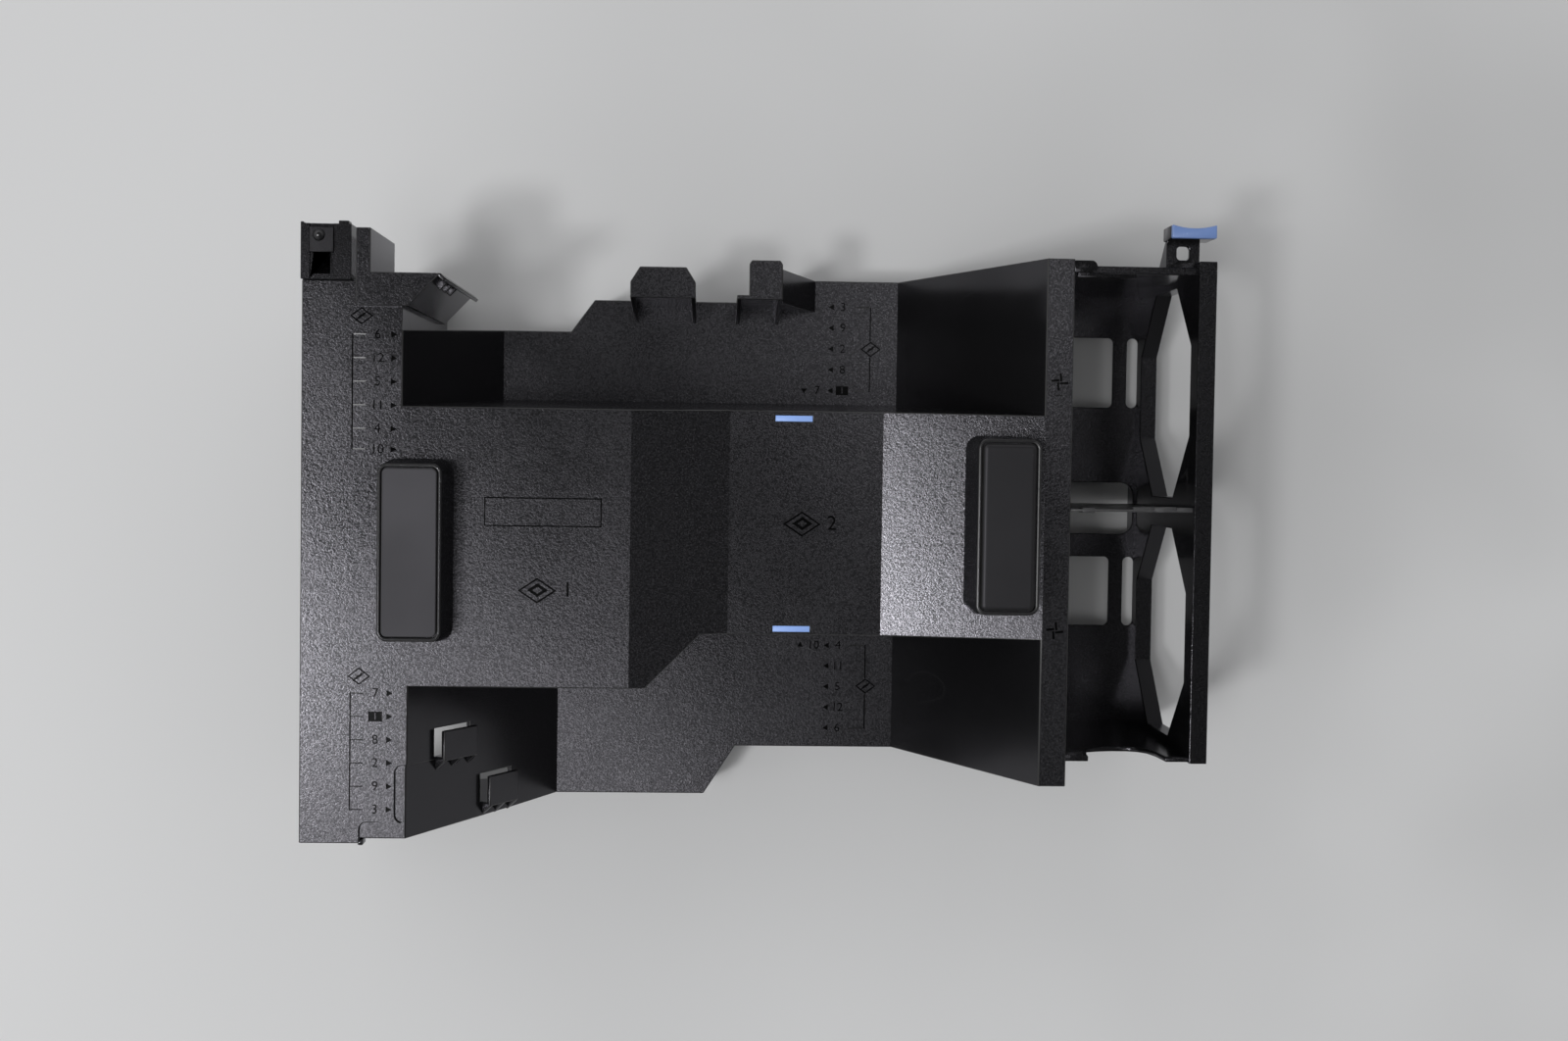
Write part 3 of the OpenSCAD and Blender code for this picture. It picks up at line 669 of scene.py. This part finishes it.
    def rear_rows(self, top, numbers, boxed, arrows=36.3, last_step=SLOT_STEP):
        """Numbered slots beside the rear ramps, on one bracket line."""
        ys = [top - SLOT_STEP * i for i in range(len(numbers))]
        ys[-1] = ys[-2] - last_step
        self.bar(REAR_BRACKET_X, ys[0], REAR_BRACKET_X, ys[-1])
        for i, (y, text) in enumerate(zip(ys, numbers)):
            self.bar(REAR_BRACKET_X + 0.5, y, 25.2, y, 0.45)
            if i == boxed:
                self.boxed_number(text, 30.2, y)
            else:
                self.number(text, 30.2, y)
            self.arrow(arrows, y, 0)

    def deck_rows(self, top, numbers, boxed, sign_y):
        """Numbered slots on a side deck, with the bracket line on the fans' side."""
        ys = [top - SLOT_STEP * i for i in range(len(numbers))]
        self.bar(DECK_BRACKET_X, ys[0], DECK_BRACKET_X, sign_y + 3.9)
        self.bar(DECK_BRACKET_X, sign_y - 3.9, DECK_BRACKET_X, ys[-1])
        self.memory_sign(234.9, sign_y)
        for y in (ys[0], ys[-1]):
            self.bar(227.6, y, 233.9, y)
        for i, (y, text) in enumerate(zip(ys, numbers)):
            if i == boxed:
                self.boxed_number(text, 222.2, y)
            else:
                self.number(text, 222.2, y)
            self.arrow(217.2, y, 180)


# ---- Operators ----


class SHROUD_OT_marks(bpy.types.Operator):
    """Make the tools that engrave the slot numbers, bay signs and the bare plate"""

    bl_idname = "shroud.marks"
    bl_label = "Engraved marks"

    def execute(self, context):
        pen = Engraver(context.scene.shroud_sizes)
        pen.rear_rows(67.7, ["6", "12", "5", "11", "4", "10"], None, last_step=8.2)
        pen.memory_sign(23.7, 75.0)
        pen.rear_rows(-76.0, ["7", "1", "8", "2", "9", "3"], 1, arrows=35.5)
        pen.memory_sign(23.6, -69.2)
        pen.deck_rows(89.1, ["3", "9", "2", "8", "1"], 4, 70.4)
        pen.number("7", 211.0, 51.5)
        pen.arrow(205.0, 51.5, -90)
        pen.deck_rows(-63.8, ["4", "11", "5", "12", "6"], None, -82.2)
        pen.number("10", 211.0, -63.8)
        pen.arrow(205.0, -63.8, 90)
        pen.chip_sign(94.4, -34.0, "1")
        pen.chip_sign(201.2, -6.2, "2")
        pen.ring(96.5, -2.4, 47.0, 11.7, 0.5, turn=45)
        pen.fan_sign(304.2, 53.2)
        pen.fan_sign(304.2, -47.8)
        tool = join(pen.tools, "mark_tool")
        tool.data.materials.clear()
        tool.data.materials.append(PAINT["engraved"])
        return {"FINISHED"}


class SHROUD_OT_cover(bpy.types.Operator):
    """Round the cover's edges and cut its marks"""

    bl_idname = "shroud.cover"
    bl_label = "Cover"

    def execute(self, context):
        sizes = context.scene.shroud_sizes
        cover = copy_of("shroud_cover", "cover_moulding")
        for paint in ("cover", "cover_edge"):
            cover.data.materials.append(PAINT[paint])
        tool = bpy.data.objects["mark_tool"]
        add_modifier(cover, "BOOLEAN", operation="DIFFERENCE", solver="EXACT", use_self=True,
                     object=tool, material_mode="TRANSFER")
        bpy.data.objects.remove(tool)
        open_up(cover)
        bpy.ops.mesh.remove_doubles(threshold=SAME_PLACE)
        bpy.ops.mesh.dissolve_limited(angle_limit=math.radians(0.3), delimit={"MATERIAL"})
        bpy.ops.object.mode_set(mode="OBJECT")
        boss_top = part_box("shroud_cover")[1].z
        share = sizes.edge_width / sizes.boss_edge
        cut = len(cover.data.materials) - 1

        def weight(edge):
            if any(face.material_index == cut for face in edge.link_faces):
                return 0.0
            on_boss = all(abs(v.co.z - boss_top) < 1e-5 for v in edge.verts)
            return 0.75 if on_boss else share

        round_edges(cover, sizes.boss_edge, 2, weight)
        shade(cover)
        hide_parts("shroud_cover")
        dress(cover, "cover")
        return {"FINISHED"}


class SHROUD_OT_cage(bpy.types.Operator):
    """Round the edges of the fan cage and its divider"""

    bl_idname = "shroud.cage"
    bl_label = "Fan cage"

    def execute(self, context):
        sizes = context.scene.shroud_sizes
        cage = copy_of("fan_cage", "cage_moulding")
        round_edges(cage, sizes.edge_width, 2)
        shade(cage)
        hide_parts("fan_cage")
        dress(cage, "cage", PAINT["cage"], PAINT["cage_edge"])
        divider = copy_of("fan_divider", "divider_sheet")
        round_edges(divider, sizes.edge_width * 0.6, 2)
        shade(divider)
        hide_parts("fan_divider")
        dress(divider, "divider", PAINT["sheet"], PAINT["sheet"])
        return {"FINISHED"}


PAD_CORNER = 2.2 * MM
PAD_RIM = 0.3 * MM
HAIR = 1e-5


class SHROUD_OT_pads(bpy.types.Operator):
    """Model the two skinned foam pads in their pockets"""

    bl_idname = "shroud.pads"
    bl_label = "Pads"

    def pad(self, node, name, paint, edge):
        low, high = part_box(node)
        pad = primitive(bpy.ops.mesh.primitive_cube_add, name, size=1, location=(low + high) / 2)
        pad.scale = high - low
        open_up(settle(pad))
        choose(pad, "EDGE", lambda side: abs(side.verts[0].co.z - side.verts[1].co.z) > HAIR)
        bpy.ops.mesh.bevel(offset=PAD_CORNER, segments=6, affect="EDGES")
        choose(pad, "FACE", lambda face: face.normal.z > 0.99)
        bpy.ops.mesh.bevel(offset=edge, segments=6, affect="EDGES")
        choose(pad, "FACE", lambda face: face.normal.z > 0.99 and face.calc_area() > PAD_CORNER ** 2)
        # A narrow ring inside the top ends the soft shading of its rolled rim
        bpy.ops.mesh.inset(thickness=PAD_RIM, depth=0)
        bpy.ops.object.mode_set(mode="OBJECT")
        shade(pad)
        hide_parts(node)
        dress(pad, "pad", paint)

    def execute(self, context):
        sizes = context.scene.shroud_sizes
        self.pad("rear_pad", "rear_foam_pad", PAINT["rear_pad"], sizes.rear_pad_edge)
        self.pad("front_pad", "front_foam_pad", PAINT["front_pad"], sizes.front_pad_edge)
        return {"FINISHED"}


class SHROUD_OT_blue_parts(bpy.types.Operator):
    """Finish the two lifting marks and the latch cap"""

    bl_idname = "shroud.blue_parts"
    bl_label = "Blue parts"

    def execute(self, context):
        width = context.scene.shroud_sizes.edge_width
        for node, name, paint in (
            ("north_touch_mark", "north_lift_mark", "touch"),
            ("south_touch_mark", "south_lift_mark", "touch"),
            ("latch_cap", "latch_finger_cap", "cap"),
        ):
            piece = copy_of(node, name)
            round_edges(piece, width * (1.2 if node == "latch_cap" else 0.3), 2)
            shade(piece)
            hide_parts(node)
            dress(piece, "touch_blue", PAINT[paint], PAINT[paint])
        return {"FINISHED"}


class SHROUD_OT_bracket(bpy.types.Operator):
    """Finish the corner bracket, its block and its pin"""

    bl_idname = "shroud.bracket"
    bl_label = "Corner bracket"

    def execute(self, context):
        width = context.scene.shroud_sizes.edge_width
        for node, name, slot, paint, edge in (
            ("corner_bracket", "corner_bracket_piece", "bracket", "bracket", "bracket_edge"),
            ("switch_block", "switch_block_piece", "block", "block", "bracket_edge"),
            ("bracket_stud", "pin_head", "stud", "stud", "stud"),
        ):
            piece = copy_of(node, name)
            if node != "bracket_stud":
                round_edges(piece, width * 0.7, 2)
            shade(piece, smooth_below=20)
            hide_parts(node)
            dress(piece, slot, PAINT[paint], PAINT[edge])
        return {"FINISHED"}


def lay_table(colour):
    """A wide table that darkens gently from west to east: painted shade, away from the lamps' side."""
    table = primitive(bpy.ops.mesh.primitive_plane_add, "table", size=14)
    material, n, position = new_material("table_paint")
    clouds = n.noise(position, 2.2, 3.0, 0.5)
    across = n.add("ShaderNodeSeparateXYZ", {0: position}).outputs["X"]
    # Painted shade: the east side of the table is two thirds as bright as the west
    tone = n.mix(n.span(across, -0.5, 0.5), rgba(colour), rgba(colour, 0.66))
    tone = n.mix(n.span(clouds, 0.3, 0.7), tone, rgba(colour, 0.95))
    close_material(n, Base_Color=tone, Roughness=0.55)
    table.data.materials.append(material)
    put_down()


def hang_lamps(scene):
    """Soft lamps high over the table, all turned to the shroud's middle."""
    aim = Vector((0, 0, 0.06))
    for name, place, size, power in (
        ("window_light", (-4.0, -1.5, 12.0), (1.4, 1.6), 195.0),
        ("window_top_light", (-4.1, 0.0, 12.0), (1.4, 1.4), 66.0),
        ("side_light", (-6.0, -3.0, 12.0), (1.4, 1.4), 360.0),
        ("bounce_light", (-1.8, -2.7, 12.0), (3.0, 3.2), 92.0),
        ("ceiling_light", (1.6, 1.2, 12.0), (2.2, 2.2), 18.0),
    ):
        lamp = bpy.data.lights.new(name, "AREA")
        lamp.shape = "RECTANGLE"
        lamp.size, lamp.size_y = size
        lamp.energy = power
        holder = bpy.data.objects.new(name, lamp)
        holder.location = place
        holder.rotation_euler = (aim - Vector(place)).to_track_quat("-Z", "Y").to_euler()
        scene.collection.objects.link(holder)


def paint_room(scene, table_colour):
    """Walls that are bright to the west and north, under a dark ceiling."""
    world = bpy.data.worlds.new("room")
    world.use_nodes = True
    world.node_tree.nodes.clear()
    n = Nodes(world.node_tree)
    toward = n.add("ShaderNodeTexCoord").outputs["Generated"]
    split = n.add("ShaderNodeSeparateXYZ", {0: toward}).outputs
    west = n.span(split["X"], -0.8, 0.8, 0.72, 0.07)
    north = n.span(split["Y"], -0.8, 0.8, 0.07, 0.74)
    rising = n.span(split["Z"], 0.05, 0.45, 0.25, 1.0)
    walls = n.math("MULTIPLY", n.math("ADD", west, north), rising)
    fill = n.mix(n.span(split["Z"], 0.56, 0.84), walls, (0.16, 0.16, 0.162, 1))
    # The backdrop at the table's far edge carries on the table's colour
    fill = n.mix(n.span(split["Z"], 0.02, 0.06), rgba(table_colour), fill)
    back = n.add("ShaderNodeBackground", {"Color": fill, "Strength": 1.0})
    world.node_tree.links.new(back.outputs[0], n.add("ShaderNodeOutputWorld").inputs[0])
    scene.world = world


def set_camera(scene):
    """Straight down over the shroud, leaning about three degrees."""
    eye = bpy.data.cameras.new("camera")
    eye.lens, eye.sensor_width = 42.73, 36.0
    eye.clip_start, eye.clip_end = 0.01, 50
    camera = bpy.data.objects.new("camera", eye)
    scene.collection.objects.link(camera)
    right = (0.99918, 0.01483, 0.03769)
    up = (-0.01354, 0.99932, -0.03418)
    backward = (-0.03818, 0.03364, 0.99870)
    turn = Matrix((right, up, backward)).transposed()
    camera.matrix_world = Matrix.Translation((-0.01925, 0.0315, 0.8741)) @ turn.to_4x4()
    scene.camera = camera


class SHROUD_OT_stage(bpy.types.Operator):
    """Lay the plain table, hang the soft light and set the camera"""

    bl_idname = "shroud.stage"
    bl_label = "Stage"

    def execute(self, context):
        scene = context.scene
        colour = scene.shroud_finish.table
        lay_table(colour)
        hang_lamps(scene)
        paint_room(scene, colour)
        set_camera(scene)
        scene.view_settings.view_transform = "Standard"
        return {"FINISHED"}


class SHROUD_PT_panel(bpy.types.Panel):
    bl_idname = "SHROUD_PT_panel"
    bl_label = "Air baffle shroud"
    bl_space_type = "VIEW_3D"
    bl_region_type = "UI"
    bl_category = "Baffle"

    def draw(self, context):
        for settings in (context.scene.shroud_sizes, context.scene.shroud_finish):
            for key in settings.bl_rna.properties.keys():
                if key not in ("rna_type", "name"):
                    self.layout.prop(settings, key)
        for operator in OPERATORS:
            self.layout.operator(operator.bl_idname)


OPERATORS = (SHROUD_OT_marks, SHROUD_OT_cover, SHROUD_OT_cage, SHROUD_OT_pads,
             SHROUD_OT_blue_parts, SHROUD_OT_bracket, SHROUD_OT_stage)
CLASSES = (ShroudSizes, ShroudFinish, *OPERATORS, SHROUD_PT_panel)


def register():
    for kind in CLASSES:
        bpy.utils.register_class(kind)
    bpy.types.Scene.shroud_sizes = bpy.props.PointerProperty(type=ShroudSizes)
    bpy.types.Scene.shroud_finish = bpy.props.PointerProperty(type=ShroudFinish)


def unregister():
    del bpy.types.Scene.shroud_finish
    del bpy.types.Scene.shroud_sizes
    for kind in reversed(CLASSES):
        bpy.utils.unregister_class(kind)


def main():
    register()
    mix_materials(bpy.context.scene.shroud_finish)
    bpy.ops.shroud.marks()
    bpy.ops.shroud.cover()
    bpy.ops.shroud.cage()
    bpy.ops.shroud.pads()
    bpy.ops.shroud.blue_parts()
    bpy.ops.shroud.bracket()
    bpy.ops.shroud.stage()


if __name__ == "__main__":
    main()
